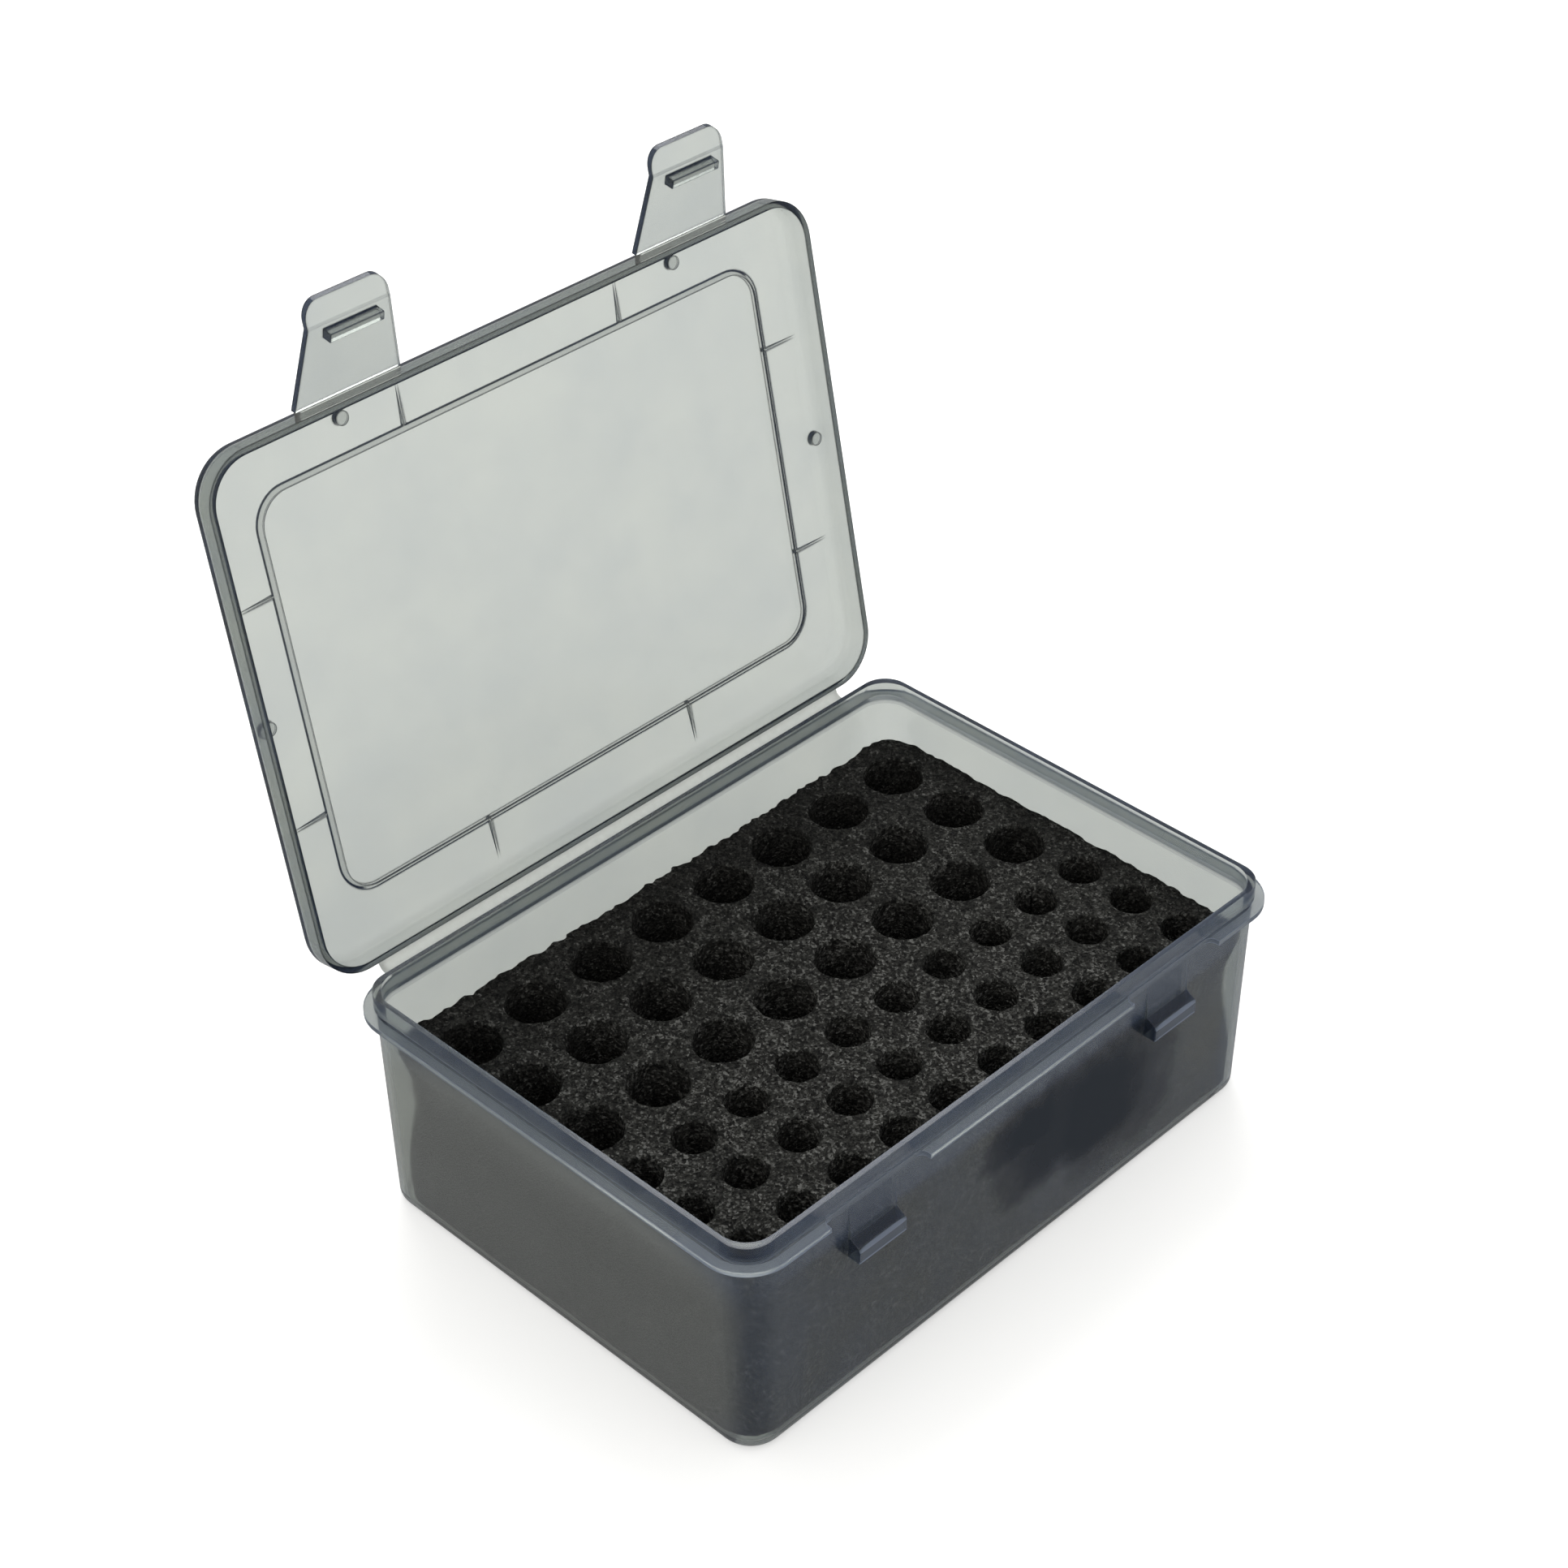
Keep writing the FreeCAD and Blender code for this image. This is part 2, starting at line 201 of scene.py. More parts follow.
def makeFloor(look):
    size = look["floorSize"]
    mesh = bpy.data.meshes.new("studioFloor")
    corners = [(-size, -size, 0), (size, -size, 0), (size, size, 0), (-size, size, 0)]
    mesh.from_pydata(corners, [], [(0, 1, 2, 3)])
    floor = bpy.data.objects.new("studioFloor", mesh)
    bpy.context.scene.collection.objects.link(floor)
    material = newMaterial("paleStudioFloor")
    seen = seenDirectly(material)
    path = addNode(material, "ShaderNodeLightPath")
    white = addNode(material, "ShaderNodeMath", {"operation": "MULTIPLY"},
                    i0=path.outputs["Is Camera Ray"], i1=look["floorWhite"])
    glow = addNode(material, "ShaderNodeMath", {"operation": "MULTIPLY_ADD"},
                   i0=seen, i1=look["floorGlow"], i2=white.outputs[0])
    # painted contact shadow: no glow on the floor under the case
    place = addNode(material, "ShaderNodeTexCoord").outputs["Object"]
    uncovered = addNode(material, "ShaderNodeMath", {"operation": "SUBTRACT"},
                        i0=1.0, i1=softSpot(material, place, look["caseContactShadow"]))
    glow = addNode(material, "ShaderNodeMath", {"operation": "MULTIPLY"},
                   i0=glow.outputs[0], i1=uncovered.outputs[0])
    paper = addNode(material, "ShaderNodeBsdfDiffuse", Color=srgbToLinear(look["floor"]))
    light = addNode(material, "ShaderNodeEmission", Strength=glow.outputs[0])
    both = addNode(material, "ShaderNodeAddShader", i0=paper.outputs[0], i1=light.outputs[0])
    mirrored = addNode(material, "ShaderNodeEmission", Strength=look["floorShine"])
    onlyMirrored = addNode(material, "ShaderNodeMath", {"operation": "SUBTRACT", "use_clamp": True},
                           i0=path.outputs["Is Glossy Ray"], i1=seen)
    surface = addNode(material, "ShaderNodeMixShader",
                      i0=onlyMirrored.outputs[0], i1=both.outputs[0], i2=mirrored.outputs[0])
    addNode(material, "ShaderNodeOutputMaterial", Surface=surface.outputs[0])
    mesh.materials.append(material)


def makeWorld(look):
    world = bpy.data.worlds.new("whiteSurround")
    world.use_nodes = True
    world.node_tree.nodes.clear()
    path = addNode(world, "ShaderNodeLightPath")
    shine = addNode(world, "ShaderNodeMapRange", Value=path.outputs["Is Glossy Ray"],
                    To_Min=look["worldGrey"], To_Max=look["worldShine"])
    level = addNode(world, "ShaderNodeMapRange", Value=seenDirectly(world),
                    To_Min=shine.outputs[0], To_Max=1.0)
    surround = addNode(world, "ShaderNodeBackground", Strength=level.outputs[0])
    surround.inputs["Color"].default_value = (1, 1, 1, 1)
    addNode(world, "ShaderNodeOutputWorld", Surface=surround.outputs[0])
    bpy.context.scene.world = world


def makeLamp(name, look, target):
    data = bpy.data.lights.new(name, "AREA")
    data.color = srgbToLinear(look["colour"])[:3]
    data.energy, data.size, data.shape = look["power"], look["size"], "DISK"
    lamp = bpy.data.objects.new(name, data)
    direction = Vector(look["place"]) - Vector(target)
    turn = direction.to_track_quat("Z", "Y").to_matrix().to_4x4()
    lamp.matrix_world = Matrix.Translation(look["place"]) @ turn
    bpy.context.scene.collection.objects.link(lamp)


makeFloor(studioLight)
makeWorld(studioLight)
for lampName, lampLook in studioLight["lamps"].items():
    makeLamp(lampName, lampLook, studioLight["lampTarget"])
bpy.context.scene.view_settings.view_transform = "Standard"
print("studio ready")


# Plastic: smoky natural polypropylene, injection moulded between polished steel faces.
# It lets light through, greys it a little, and greys it more where the light runs along the sheet.
# A milky haze in the resin shows against what is dark behind it. Painted light lines on the tub's edges,
# painted dark lines on the lid's and latches' edges, and patches of painted light on the tub all go in
# through the same haze share.

plasticLook = {
    "tint": "#DCDFDA",
    "roughness": 0.14,
    "ior": 1.49,
    "smoke": "#828A83",       # what the thickness takes out of the light
    "smokeDensity": 290.0,    # per metre
    "haze": 0.056,            # share of the light that the cloudy resin scatters
    "hazeThrough": 0.55,      # the part of it that goes on through the wall
    "hazeColour": "#93A8D8",  # where it is thin
    "hazeColourAt": 0.08,     # up to this share of haze
    # the colour where the share is high, which the painted edge lines and painted light patches reach as well
    "thickHazeAndPaintedLine": "#9FA9BC",   # where there is much of it
    "thickHazeAndPaintedLineAt": 0.24,      # from this share on
    "cloud": 0.025,           # how much the haze comes and goes as the resin flowed
    "cloudSize": 0.022,       # metres
    "cloudDetail": 4.0,
    # painted edge lines in that colour: light ones on the tub, dark ones on the lid and latches
    "paintedEdgeLine": 0.30,
    "edgeRadius": 0.0004,     # metres
    "edgeTurn": (0.98, 0.75),  # cosines of the turn at which an edge's haze starts and is full
    "edgeSamples": 6,
}

# The tub's wall is clearer, and its edges carry painted light lines. The lid and latches stand against white,
# where the light that an edge throws aside is missed, so their edges carry painted dark lines.
tubLook = {"smokeDensity": 210.0, "paintedEdgeLine": 0.24}
lidLook = {"thickHazeAndPaintedLine": "#30363E", "paintedEdgeLine": 0.85, "edgeRadius": 0.0009}
latchLook = {"haze": 0.066, "thickHazeAndPaintedLine": "#454B54", "paintedEdgeLine": 0.50}

# Painted light on the tub, put in as extra haze: the centre and reach of each patch, in metres, and its
# strength
tubPaintedLight = [
    # painted lighter band on the front wall above the foam
    {"centre": (0.0, -0.0625, 0.0560), "reach": (0.0950, 0.0060, 0.0100), "strength": 0.100},
    # left end above the foam, and nearly all of the left end, painted lighter in a greyer colour
    {"centre": (-0.0870, 0.0, 0.0520), "reach": (0.0050, 0.0700, 0.0140), "strength": 0.050},
    {"centre": (-0.0870, 0.0, 0.0250), "reach": (0.0050, 0.0700, 0.0340), "strength": 0.162,
     "colour": "#BABDBD"},
    # painted highlight streaks beside the near corner and beside the right one
    {"centre": (-0.0760, -0.0610, 0.0280), "reach": (0.0090, 0.0060, 0.0260), "strength": 0.025},
    {"centre": (0.0800, -0.0600, 0.0280), "reach": (0.0080, 0.0070, 0.0300), "strength": 0.120},
    # painted light along the flange, and a painted glow on its near corner from below
    {"centre": (0.0, 0.0, 0.05695), "reach": (0.2000, 0.2000, 0.0013), "strength": 0.220},
    {"centre": (-0.0800, -0.0560, 0.0564), "reach": (0.0200, 0.0160, 0.0009), "strength": 0.280},
]
catchX = 0.0489    # each catch's distance from the middle of the front
for x in (-catchX, catchX):
    tubPaintedLight += [
        # painted light on each catch: the whole catch, its face, and highlight lines along the face's upper
        # and lower edges
        {"centre": (x, -0.0640, 0.0440), "reach": (0.0095, 0.0040, 0.0050), "strength": 0.03},
        {"centre": (x, -0.0652, 0.0433), "reach": (0.0088, 0.0013, 0.0025), "strength": 0.34},
        {"centre": (x, -0.0650, 0.0451), "reach": (0.0085, 0.0013, 0.0006), "strength": 0.85},
        {"centre": (x, -0.0650, 0.0417), "reach": (0.0085, 0.0013, 0.0006), "strength": 0.85},
    ]

# Where the foam is pressed against the wall, it wets out and shows nearly black
pressedFoam = {
    "patches": [
        {"centre": (0.0180, -0.0615, 0.0330), "reach": (0.0290, 0.0080, 0.0190),
         "strength": 0.85, "core": 0.02},
        {"centre": (0.0360, -0.0615, 0.0250), "reach": (0.0240, 0.0080, 0.0200),
         "strength": 0.45, "core": 0.02},
        {"centre": (-0.0010, -0.0615, 0.0390), "reach": (0.0140, 0.0080, 0.0070),
         "strength": 0.50, "core": 0.1},
    ],
    "colour": "#1A222C",
    "roughness": 0.3,
    "shine": 0.12,
    "stray": 0.007,       # how far its outline wanders, metres
    "straySize": 0.009,
    "strayDetail": 3.0,
}


def addUp(material, shares):
    # the sum of the shares, at most 1
    total = shares[0]
    for share in shares[1:]:
        total = addNode(material, "ShaderNodeMath", {"operation": "ADD", "use_clamp": True},
                        i0=total, i1=share).outputs[0]
    return total


def hazeAndPaintedLightShare(material, place, look, patches):
    # the resin's clouds, the painted edge lines, and the patches of painted light, added up
    clouds = addNode(material, "ShaderNodeTexNoise", Vector=place,
                     Scale=1 / look["cloudSize"], Detail=look["cloudDetail"])
    base = addNode(material, "ShaderNodeMapRange", Value=clouds.outputs[0], **noiseReach,
                   To_Min=look["haze"] - look["cloud"], To_Max=look["haze"] + look["cloud"])
    # painted edge lines: an edge is where the normal of the rounded form differs from the face's own
    rounded = addNode(material, "ShaderNodeBevel", {"samples": look["edgeSamples"]},
                      Radius=look["edgeRadius"])
    flat = addNode(material, "ShaderNodeNewGeometry")
    same = addNode(material, "ShaderNodeVectorMath", {"operation": "DOT_PRODUCT"},
                   i0=rounded.outputs[0], i1=flat.outputs["Normal"])
    start, full = look["edgeTurn"]
    edge = addNode(material, "ShaderNodeMapRange", Value=same.outputs["Value"], From_Min=start, From_Max=full,
                   To_Min=0.0, To_Max=look["paintedEdgeLine"])
    # patches of painted light
    spots = [softSpot(material, place, patch) for patch in patches]
    return addUp(material, [base.outputs[0], edge.outputs[0]] + spots)


def pressedShare(material, place, pressed):
    # the patches of pressed foam, their outline carried off by a noise
    wander = addNode(material, "ShaderNodeTexNoise", Vector=place,
                     Scale=1 / pressed["straySize"], Detail=pressed["strayDetail"])
    stray = pressed["stray"]
    shift = addNode(material, "ShaderNodeVectorMath", {"operation": "MULTIPLY_ADD"},
                    i0=wander.outputs["Color"], i1=(2 * stray, 0.0, 2 * stray), i2=(-stray, 0.0, -stray))
    strayed = addNode(material, "ShaderNodeVectorMath", {"operation": "ADD"}, i0=place, i1=shift.outputs[0])
    return addUp(material, [softSpot(material, strayed.outputs[0], patch) for patch in pressed["patches"]])


def makePlastic(name, look, patches=(), pressed=None):
    # clear, smoky resin mixed with a milky one by the share of haze and painted light, and with wet foam
    # where it is pressed
    material = newMaterial(name)
    place = addNode(material, "ShaderNodeTexCoord").outputs["Object"]
    clear = addNode(material, "ShaderNodeBsdfPrincipled", Base_Color=srgbToLinear(look["tint"]),
                    Roughness=look["roughness"], IOR=look["ior"])
    clear.inputs["Transmission Weight"].default_value = 1.0
    share = hazeAndPaintedLightShare(material, place, look, patches)
    # the milky colour also colours the painted edge lines and painted light patches
    ramp = addNode(material, "ShaderNodeValToRGB", Fac=share)
    for element, key in zip(ramp.color_ramp.elements, ("hazeColour", "thickHazeAndPaintedLine")):
        element.position, element.color = look[key + "At"], srgbToLinear(look[key])
    milk = ramp.outputs[0]
    # patches of painted light that bring their own colour
    for patch in patches:
        if "colour" in patch:
            spot = softSpot(material, place, {**patch, "strength": 1.0})
            milk = addNode(material, "ShaderNodeMix", {"data_type": "RGBA"},
                           i0=spot, i6=milk, i7=srgbToLinear(patch["colour"])).outputs[2]
    back = addNode(material, "ShaderNodeBsdfDiffuse", Color=milk)
    onward = addNode(material, "ShaderNodeBsdfTranslucent", Color=milk)
    cloudy = addNode(material, "ShaderNodeMixShader",
                     i0=look["hazeThrough"], i1=back.outputs[0], i2=onward.outputs[0])
    surface = addNode(material, "ShaderNodeMixShader", i0=share, i1=clear.outputs[0], i2=cloudy.outputs[0])
    if pressed:
        wet = addNode(material, "ShaderNodeBsdfPrincipled", Base_Color=srgbToLinear(pressed["colour"]),
                      Roughness=pressed["roughness"])
        wet.inputs["Specular IOR Level"].default_value = pressed["shine"]
        surface = addNode(material, "ShaderNodeMixShader", i0=pressedShare(material, place, pressed),
                          i1=surface.outputs[0], i2=wet.outputs[0])
    smoke = addNode(material, "ShaderNodeVolumeAbsorption", Color=srgbToLinear(look["smoke"]),
                    Density=look["smokeDensity"])
    addNode(material, "ShaderNodeOutputMaterial", Surface=surface.outputs[0], Volume=smoke.outputs[0])
    return material


paint("base_tub", makePlastic("smokyPolypropyleneTub", {**plasticLook, **tubLook}, tubPaintedLight, pressedFoam))
paint("lid_cover", makePlastic("smokyPolypropyleneLid", {**plasticLook, **lidLook}))
latchPlastic = makePlastic("smokyPolypropyleneLatch", {**plasticLook, **lidLook, **latchLook})
for name in ("latch_left", "latch_right"):
    paint(name, latchPlastic)
print("plastic on the moulding")


# Living hinges: thin films of the same moulding, milky where they have been bent,
# with grooves pressed along them

filmShape = {
    "hinge": {"groove": 0.35, "grooveAt": (0.30, 0.72), "stations": 60},
    "latch": {"groove": 0.30, "grooveAt": (0.25, 0.75), "stations": 16},
    "thickness": 0.0004,
    "dipWidth": 0.06,               # of a groove, as a share of the film's length
    "steps": 14,
    "leadSteps": 6,
    "lidEdge": (0.0640, 0.0584),    # y and z of the film's middle at the closed lid's back edge; -y in front
    "latchFold": 20.0,              # degrees
    "latchLength": 0.0023,
}

filmLook = {
    **plasticLook,
    "smokeDensity": 120.0,    # bending draws the resin out, and it whitens
    "haze": 0.52,
    "hazeThrough": 0.50,
    "hazeColour": "#F6F8F6",
    "thickHazeAndPaintedLine": "#F6F8F6",
    "cloud": 0.03,
    "cloudSize": 0.002,
    "paintedEdgeLine": 0.0,
}
foldedLook = {**filmLook, "haze": 0.12, "cloud": 0.02, "smokeDensity": 900.0}    # the latches' hardly whiten

lidHinge = next(joint for joint in frame["joints"] if joint["name"] == "lid_hinge")
hingeY, hingeZ = lidHinge["pos_m"][1:]
restTurn = math.radians(lidHinge["range_deg"][1])


def openedLine(line):
    # points drawn on the closed lid, turned about the hinge to where the lid stands open
    dy, dz = line[:, 0] - hingeY, line[:, 1] - hingeZ
    return np.column_stack([hingeY + dy * math.cos(restTurn) + dz * math.sin(restTurn),
                            hingeZ - dy * math.sin(restTurn) + dz * math.cos(restTurn)])


def filmMesh(name, line, low, high, shape, part):
    # a strip along X: each point of the line in the YZ plane, moved by half the thickness to both sides,
    # the thickness dipping at each groove as a bell curve
    steps = np.gradient(line, axis=0)
    sideways = np.column_stack([-steps[:, 1], steps[:, 0]]) / np.linalg.norm(steps, axis=1)[:, None]
    along = np.linspace(0, 1, len(line))
    dips = sum(np.exp(-((along - at) / shape["dipWidth"]) ** 2) for at in part["grooveAt"])
    half = shape["thickness"] / 2 * (1 - part["groove"] * dips)
    over, under = line + sideways * half[:, None], line - sideways * half[:, None]
    loop = np.concatenate([over, under[::-1]])
    xs = np.linspace(low, high, part["stations"])
    points = np.column_stack([np.repeat(xs, len(loop)), np.tile(loop, (len(xs), 1))])
    faces = gridFaces(len(xs), len(loop), 0)
    first = np.arange(len(line) - 1)
    cap = np.stack([first, first + 1, len(loop) - 2 - first, len(loop) - 1 - first], axis=-1)
    faces += cap.tolist() + (cap + len(loop) * (len(xs) - 1)).tolist()
    mesh = bpy.data.meshes.new(name)
    mesh.from_pydata(points.tolist(), [], faces)
    return mesh


def addFilm(name, line, part, material):
    low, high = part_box(name)
    mesh = filmMesh(name, line, low[0], high[0], filmShape, part)
    piece = bpy.data.objects.new(name.replace("_", "-") + "-bent", mesh)
    bpy.context.scene.collection.objects.link(piece)
    tidyNormals(piece.data)
    piece.data.materials.append(material)
    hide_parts(name)
    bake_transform(piece)


def hingeLine(shape):
    # straight out from the flange, then an arc up to the lid's edge
    edge = np.array([shape["lidEdge"]])
    (arriveY, arriveZ), = openedLine(edge)
    turn = math.pi - restTurn
    radius = (arriveZ - hingeZ) / (1 - math.cos(turn))
    lead = arriveY - edge[0, 0] - radius * math.sin(turn)
    angles = np.linspace(0, turn, shape["steps"])
    leadIn = np.linspace(0, lead, shape["leadSteps"])[:-1]
    straight = np.column_stack([leadIn + edge[0, 0], np.full(len(leadIn), hingeZ)])
    arc = np.column_stack([edge[0, 0] + lead + radius * np.sin(angles),
                           hingeZ + radius * (1 - np.cos(angles))])
    return np.concatenate([straight, arc])


def latchLine(shape):
    # an arc that leaves the closed lid's front edge level and folds down, then opened with the lid
    fold = math.radians(shape["latchFold"])
    radius = shape["latchLength"] / 2 / math.tan(fold / 2)
    angles = np.linspace(0, fold, shape["steps"])
    edgeY, edgeZ = shape["lidEdge"]
    arc = np.column_stack([-edgeY - radius * np.sin(angles), edgeZ - radius * (1 - np.cos(angles))])
    return openedLine(arc)


bentFilm = makePlastic("bentPolypropyleneFilm", filmLook)
addFilm("hinge_film", hingeLine(filmShape), filmShape["hinge"], bentFilm)
foldedFilm = makePlastic("foldedPolypropyleneFilm", foldedLook)
for side in ("left", "right"):
    addFilm("latch_film_" + side, latchLine(filmShape), filmShape["latch"], foldedFilm)
print("living hinges bent")


# Foam: open-cell polyurethane, skived flat and punched. Dark all through, with torn cell walls
# that catch a little light on every cut face.

foamBlock = {
    # metres: hole radius, number of columns and rows, pitch along X and Y, and the Y of the row furthest back
    "largeHoles": {"radius": 0.0073, "columns": 8, "rows": 3,
                   "pitch": (0.0200, 0.02012), "firstRow": 0.04296},
    "smallHoles": {"radius": 0.00515, "columns": 10, "rows": 3,
                   "pitch": (0.0162, 0.01586), "firstRow": -0.0155},
    "holeFloor": 0.0065,         # top of the uncut sheet
    "sample": 0.0008,            # spacing along the borders of the cells
    "cellRings": (1.0, 0.72, 0.46, 0.22, 0.0),    # from a cell's border (1) to its hole's lip (0)
    "lip": 0.0006,               # rounding of a hole's edge
    "lipTurns": (30, 60, 90),    # degrees over the lip
    "wallRings": 15,             # down a hole
    "wallCrowding": 1.25,        # rings stand closer near the top
    # the block is drawn in at its corners where the skiving knife pulled it: heights and radii
    "cornerRadius": ((0.0065, 0.0078), (0.0140, 0.0082), (0.0220, 0.0120),
                     (0.0320, 0.0168), (0.0400, 0.0158), (0.0469, 0.0092)),
    "sideRings": 26,
    "draft": 0.0007,             # how much further in the sides stand at the foot
    "footHeight": 0.0015,        # the lowest edge is rounded off: its height and how far it goes in
    "footDraw": 0.0016,
    "backBow": 0.0012,           # the back edge falls short in its middle
    "backTear": 0.0009,
    "backDepth": 0.005,          # from the back face to where its bow and tears fade out
    "endTear": 0.7,              # the ends tear too, inwards, as a share of the back's tear
    "endDepth": 0.004,
    "endFrom": 0.034,            # height at which the ends' tears begin
    "endRise": 0.012,            # and over which they grow to their full size
    "lipTear": 0.00028,          # the punch leaves the holes a little out of round
    "swell": 0.00025,            # slow rise and fall of the cut faces
    "grain": 0.00013,            # torn cells
    "wallNear": 0.002,           # a face as near as this to the tub moves only inwards
    # noises as layers of share, size in metres, and seed
    "swellNoise": ((1.0, 0.022, 3),),
    "grainNoise": ((1.0, 0.0011, 5), (0.7, 0.0024, 6)),
    "lipNoise": ((1.0, 0.0042, 12), (0.5, 0.0019, 13)),
    "tearNoise": ((0.6, 0.0034, 8), (0.9, 0.0015, 9)),
}
touching = 1e-7    # metres; points as near as this to a line count as on it


def latticeNoise(points, size, seed):
    # a random value at each corner of a lattice, mixed smoothly between the eight corners round a point
    scaled = points / size
    base = np.floor(scaled).astype(np.int64)
    part = scaled - base
    part = part * part * (3 - 2 * part)
    total = np.zeros(len(points))
    for corner in np.ndindex(2, 2, 2):
        at = base + np.array(corner)
        # the corner's whole numbers, stirred with large primes, give a value from -1 to 1
        mixed = (at[:, 0] * 73856093) ^ (at[:, 1] * 19349663) ^ (at[:, 2] * 83492791) ^ (seed * 2654435761)
        mixed = (mixed ^ (mixed >> 13)) * 1274126177
        value = ((mixed ^ (mixed >> 16)) & 0xFFFFFF) / 0x7FFFFF - 1.0
        weight = np.prod(np.where(corner, part, 1 - part), axis=1)
        total += value * weight
    return total


def layeredNoise(points, layers):
    # the sum of several lattice noises, each times its share
    return sum(share * latticeNoise(points, size, seed) for share, size, seed in layers)


def roundedCorners(points, low, high, radius):
    # points on a rectangle's border slide onto arcs near its corners: the distance to the corner,
    # as a share of the radius, gives the angle along the arc
    centre = (low + high) / 2
    half = (high - low) / 2
    offset = np.abs(points - centre)
    toCorner = half - offset
    near = (toCorner.max(axis=1) < radius) & (toCorner.min(axis=1) < touching)
    share = toCorner.max(axis=1) / radius
    onSide = toCorner[:, 0] < toCorner[:, 1]
    angle = np.where(onSide, (1 - share) * math.pi / 4, math.pi / 2 - (1 - share) * math.pi / 4)
    arc = half - radius + radius * np.stack([np.cos(angle), np.sin(angle)], axis=1)
    moved = np.where(near[:, None], arc, offset)
    return centre + np.where(points < centre, -1, 1) * moved


def splitLine(marks, sample):
    # evenly spaced samples between each pair of marks, the marks included
    runs = []
    for start, end in zip(marks[:-1], marks[1:]):
        runs.append(np.linspace(start, end, max(2, round((end - start) / sample) + 1))[:-1])
    return np.concatenate(runs + [marks[-1:]])


def levelRing(flat, height):
    # points of a plane, lifted to one height
    return np.column_stack([flat, np.full(len(flat), height)])


def holePatch(centre, radius, border, block, top):
    # one cell of the block: flat from its border to the hole's lip, over the lip and down the hole.
    # Each border point faces the point of the circle that lies in its own direction from the centre.
    away = border - centre
    ways = away / np.linalg.norm(away, axis=1)[:, None]
    lip = block["lip"]
    rings = []
    for share in block["cellRings"]:
        rings.append(levelRing((centre + ways * (radius + lip)) * (1 - share) + border * share, top))
    for turn in np.radians(block["lipTurns"]):
        over = centre + ways * (radius + lip * (1 - math.sin(turn)))
        rings.append(levelRing(over, top - lip * (1 - math.cos(turn))))
    for share in np.linspace(0, 1, block["wallRings"])[1:] ** block["wallCrowding"]:
        height = (top - lip) * (1 - share) + block["holeFloor"] * share
        rings.append(levelRing(centre + ways * radius, height))
    return rings


def holeRows(block):
    # the rows of holes from the back to the front: the holes' X, their Y, radius and pitch along Y
    rows = []
    for holes in (block["largeHoles"], block["smallHoles"]):
        across, along = holes["pitch"]
        xs = (np.arange(holes["columns"]) - (holes["columns"] - 1) / 2) * across
        for row in range(holes["rows"]):
            y = holes["firstRow"] - row * along
            rows.append({"xs": xs, "y": y, "radius": holes["radius"], "along": along})
    return rows


def cellLines(rows, low, high, sample):
    # the Y between the rows' cells, the X between the cells of each row, and the sampled lines along X
    # from the back to the front. A line between two rows has the points of the cells on both its sides,
    # rounded so that equal ones become one.
    borders = [high[1]]
    for back, front in zip(rows[:-1], rows[1:]):
        borders.append((back["y"] - back["along"] / 2 + front["y"] + front["along"] / 2) / 2)
    borders.append(low[1])
    marks = []
    for row in rows:
        middles = (row["xs"][:-1] + row["xs"][1:]) / 2
        marks.append(np.concatenate([[low[0]], middles, [high[0]]]))
    lines = [splitLine(marks[0], sample)]
    for back, front in zip(marks[:-1], marks[1:]):
        both = np.concatenate([splitLine(back, sample), splitLine(front, sample)])
        lines.append(np.unique(np.round(both, 8)))
    lines.append(splitLine(marks[-1], sample))
    return borders, marks, lines


def rectangleBorder(front, back, side, left, right):
    # points round a rectangle: along its front, up its right side, along its back and down its left side
    return np.concatenate([
        np.column_stack([front, np.full(len(front), side[0])]),
        np.column_stack([np.full(len(side) - 2, right), side[1:-1]]),
        np.column_stack([back[::-1], np.full(len(back), side[-1])]),
        np.column_stack([np.full(len(side) - 2, left), side[-2:0:-1]]),
    ])


def outsideRings(around, low, high, foot, block):
    # the block's outside from the top down: its border, drawn in a little as it goes down,
    # with the corner radius of each height, and drawn in once more at the foot
    top = high[2]
    lowest = [foot, foot + block["footHeight"]]
    heights = np.concatenate([lowest, np.linspace(block["holeFloor"], top, block["sideRings"])])
    knots = np.array(block["cornerRadius"])
    rings = []
    for height in heights[::-1]:
        draw = block["footDraw"] if height == foot else 0.0
        shrink = block["draft"] * (top - height) / top + draw
        levelLow, levelHigh = low[:2] + shrink, high[:2] - shrink
        scaled = levelLow + (around - low[:2]) / (high[:2] - low[:2]) * (levelHigh - levelLow)
        radius = np.interp(height, knots[:, 0], knots[:, 1])
        rings.append(levelRing(roundedCorners(scaled, levelLow, levelHigh, radius), height)[::-1])
    return rings


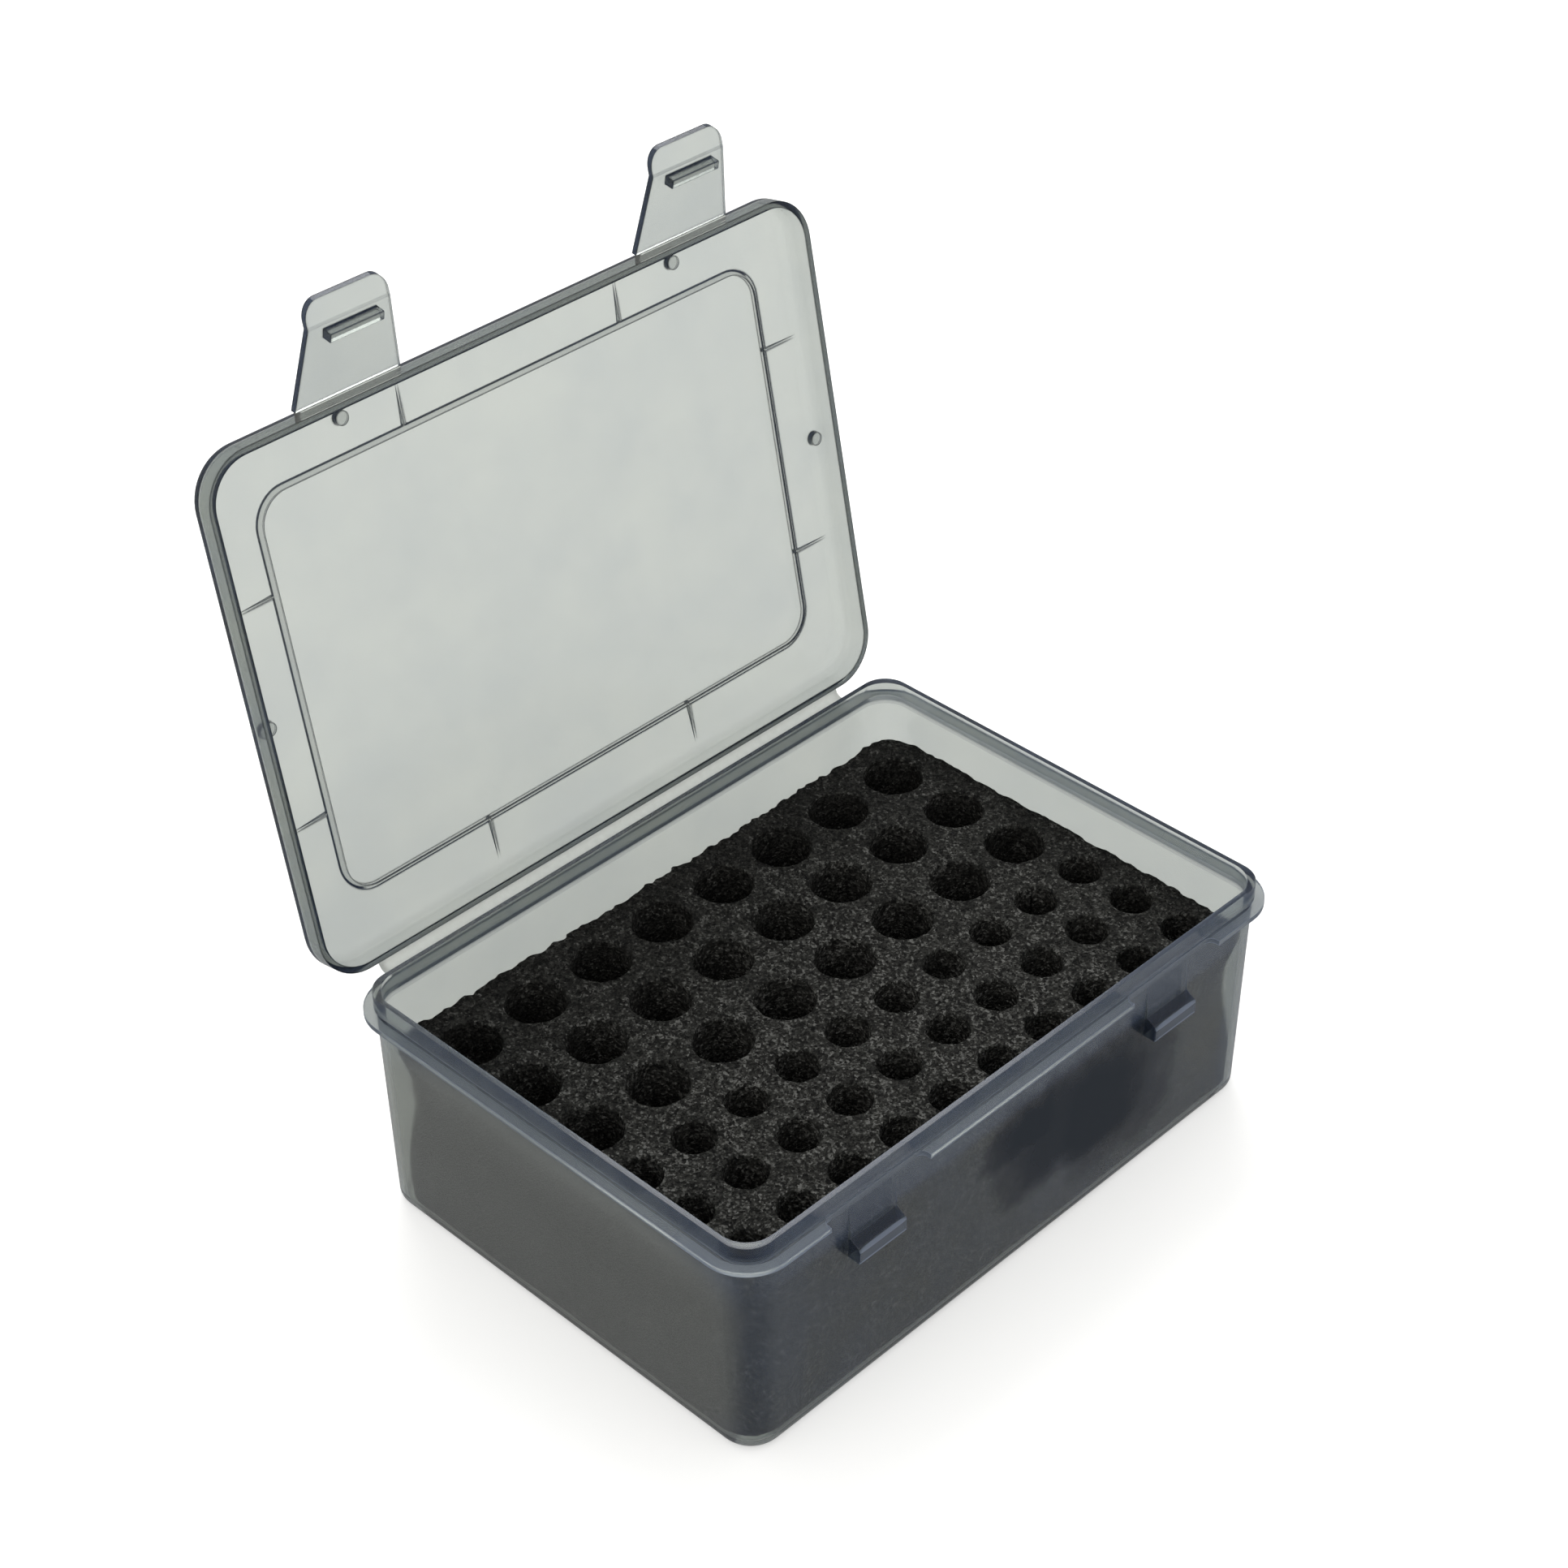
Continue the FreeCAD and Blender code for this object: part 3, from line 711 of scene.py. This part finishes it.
def foamGrid(block):
    # the block as tubes of rings: one for each cell with its hole, and one for the outside,
    # each closed by a face at its last ring
    low, high = (np.array(corner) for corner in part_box("foam_insert"))
    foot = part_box("foam_backing")[0][2]
    rows = holeRows(block)
    borders, marks, lines = cellLines(rows, low, high, block["sample"])
    sides = []
    for back, front in zip(borders[:-1], borders[1:]):
        sides.append(splitLine(np.array([front, back]), block["sample"]))
    topRadius = block["cornerRadius"][-1][1]
    tubes = []
    for index, row in enumerate(rows):
        back, front = lines[index], lines[index + 1]
        for left, right, x in zip(marks[index][:-1], marks[index][1:], row["xs"]):
            nearFront = front[(front > left - touching) & (front < right + touching)]
            nearBack = back[(back > left - touching) & (back < right + touching)]
            border = rectangleBorder(nearFront, nearBack, sides[index], left, right)
            border = roundedCorners(border, low[:2], high[:2], topRadius)
            tubes.append(holePatch(np.array([x, row["y"]]), row["radius"], border, block, high[2]))
    upTheSide = np.concatenate([side[:-1] for side in reversed(sides)] + [sides[0][-1:]])
    around = rectangleBorder(lines[-1], lines[0], upTheSide, low[0], high[0])
    tubes.append(outsideRings(around, low, high, foot, block))
    points, faces, count = [], [], 0
    for rings in tubes:
        each = len(rings[0])
        points.extend(rings)
        faces.extend(gridFaces(len(rings), each, count))
        faces.append((np.arange(each) + count + (len(rings) - 1) * each).tolist())
        count += each * len(rings)
    return np.concatenate(points), faces, low, high


def tornFoam(co, normal, low, high, block):
    # each point moves along its normal by swell, grain and the holes' wear; faces against the tub
    # move only inwards, so that the block stays in its own space
    byWall = np.minimum(np.abs(co[:, 0] - low[0]), np.abs(co[:, 0] - high[0])) < block["wallNear"]
    byWall |= np.abs(co[:, 1] - low[1]) < block["wallNear"]
    swell = block["swell"] * layeredNoise(co, block["swellNoise"])
    grain = block["grain"] * layeredNoise(co, block["grainNoise"])
    swell = np.where(byWall, -np.abs(swell), swell)
    grain = np.where(byWall, -np.abs(grain), grain)
    outOfRound = np.where(byWall, 0.0, block["lipTear"] * layeredNoise(co, block["lipNoise"]))
    outOfRound *= 1 - np.abs(normal[:, 2])
    moved = co + normal * (swell + grain + outOfRound)[:, None]
    # the back edge is bowed and torn, and the ends' upper edges are torn
    tear = block["backTear"] * layeredNoise(co, block["tearNoise"])
    atBack = np.clip((co[:, 1] - (high[1] - block["backDepth"])) / block["backDepth"], 0, 1)
    bow = block["backBow"] * (1 - (co[:, 0] / high[0]) ** 2)
    moved[:, 1] += atBack * (tear - bow)
    atEnd = np.clip((np.abs(co[:, 0]) - (high[0] - block["endDepth"])) / block["endDepth"], 0, 1)
    atEnd *= np.clip((co[:, 2] - block["endFrom"]) / block["endRise"], 0, 1)
    moved[:, 0] -= np.sign(co[:, 0]) * atEnd * block["endTear"] * (block["backTear"] + tear)
    moved[:, 2] = np.maximum(moved[:, 2], co[:, 2].min())
    return moved


def makeFoamBlock(block):
    points, faces, low, high = foamGrid(block)
    mesh = bpy.data.meshes.new("drilledFoam")
    mesh.from_pydata(points.tolist(), [], faces)
    tidyNormals(mesh)
    co, normal = np.zeros(len(mesh.vertices) * 3), np.zeros(len(mesh.vertices) * 3)
    mesh.vertices.foreach_get("co", co)
    mesh.vertices.foreach_get("normal", normal)
    moved = tornFoam(co.reshape(-1, 3), normal.reshape(-1, 3), low, high, block)
    mesh.vertices.foreach_set("co", moved.ravel())
    mesh.update()
    piece = bpy.data.objects.new("drilledFoam", mesh)
    bpy.context.scene.collection.objects.link(piece)
    return piece


foamLook = {
    "pore": "#0C0C0B",
    "poreAt": 0.04,          # up to this lot a cell is a dark pore
    "wall": "#353532",
    "wallAt": 0.36,
    "strut": "#6E6E6B",      # torn cell walls that catch the light
    "strutAt": 0.75,
    "cell": 0.00048,         # metres across a torn cell, drawn half as large again so that it shows
    "fleck": 0.62,           # a coarser draw, by this scale, that picks out single flecks
    "patch": 0.007,          # metres across a darker or lighter patch
    "patchDetail": 3.0,
    "patchLevels": (0.75, 1.2),
    # a painted pool of light: where most of the torn walls show bright, and how much of it is left elsewhere
    "lit": {"centre": (-0.0200, -0.0350, 0.0469), "reach": (0.1200, 0.0950, 1.0),
            "strength": 0.40, "core": 0.0},
    "least": 0.76,
    "roughness": 0.85,
    "shine": 0.2,
    "relief": 0.9,
    "reliefDepth": 0.0004,   # metres
}


def makeFoamMaterial(name, look):
    # each cell draws its own lot; few come out bright, and fewer still in a dark patch or outside the painted
    # pool of light
    material = newMaterial(name)
    place = addNode(material, "ShaderNodeTexCoord").outputs["Object"]
    cells = addNode(material, "ShaderNodeTexVoronoi", {"feature": "F1"}, Vector=place, Scale=1 / look["cell"])
    flecks = addNode(material, "ShaderNodeTexVoronoi", {"feature": "F1"},
                     Vector=place, Scale=look["fleck"] / look["cell"])
    blotch = addNode(material, "ShaderNodeTexNoise", Vector=place,
                     Scale=1 / look["patch"], Detail=look["patchDetail"])
    darkest, lightest = look["patchLevels"]
    level = addNode(material, "ShaderNodeMapRange", Value=blotch.outputs[0], **noiseReach,
                    To_Min=darkest, To_Max=lightest)
    lit = addNode(material, "ShaderNodeMath", {"operation": "ADD"},
                  i0=softSpot(material, place, look["lit"]), i1=look["least"])
    lot = cells.outputs["Color"]
    for factor in (flecks.outputs["Color"], level.outputs[0], lit.outputs[0]):
        lot = addNode(material, "ShaderNodeMath", {"operation": "MULTIPLY"}, i0=lot, i1=factor).outputs[0]
    ramp = addNode(material, "ShaderNodeValToRGB", Fac=lot)
    for element, key in zip(ramp.color_ramp.elements, ("pore", "strut")):
        element.position, element.color = look[key + "At"], srgbToLinear(look[key])
    ramp.color_ramp.elements.new(look["wallAt"]).color = srgbToLinear(look["wall"])
    foam = addNode(material, "ShaderNodeBsdfPrincipled",
                   Base_Color=ramp.outputs[0], Roughness=look["roughness"])
    foam.inputs["Specular IOR Level"].default_value = look["shine"]
    bump = addNode(material, "ShaderNodeBump", Height=cells.outputs["Distance"],
                   Strength=look["relief"], Distance=look["reliefDepth"])
    material.node_tree.links.new(bump.outputs[0], foam.inputs["Normal"])
    addNode(material, "ShaderNodeOutputMaterial", Surface=foam.outputs[0])
    return material


foam = makeFoamBlock(foamBlock)
foam.data.materials.append(makeFoamMaterial("charcoalFoam", foamLook))
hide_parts("foam_insert", "foam_backing")
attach(foam, "tub")
print("foam ready:", len(foam.data.polygons), "faces")
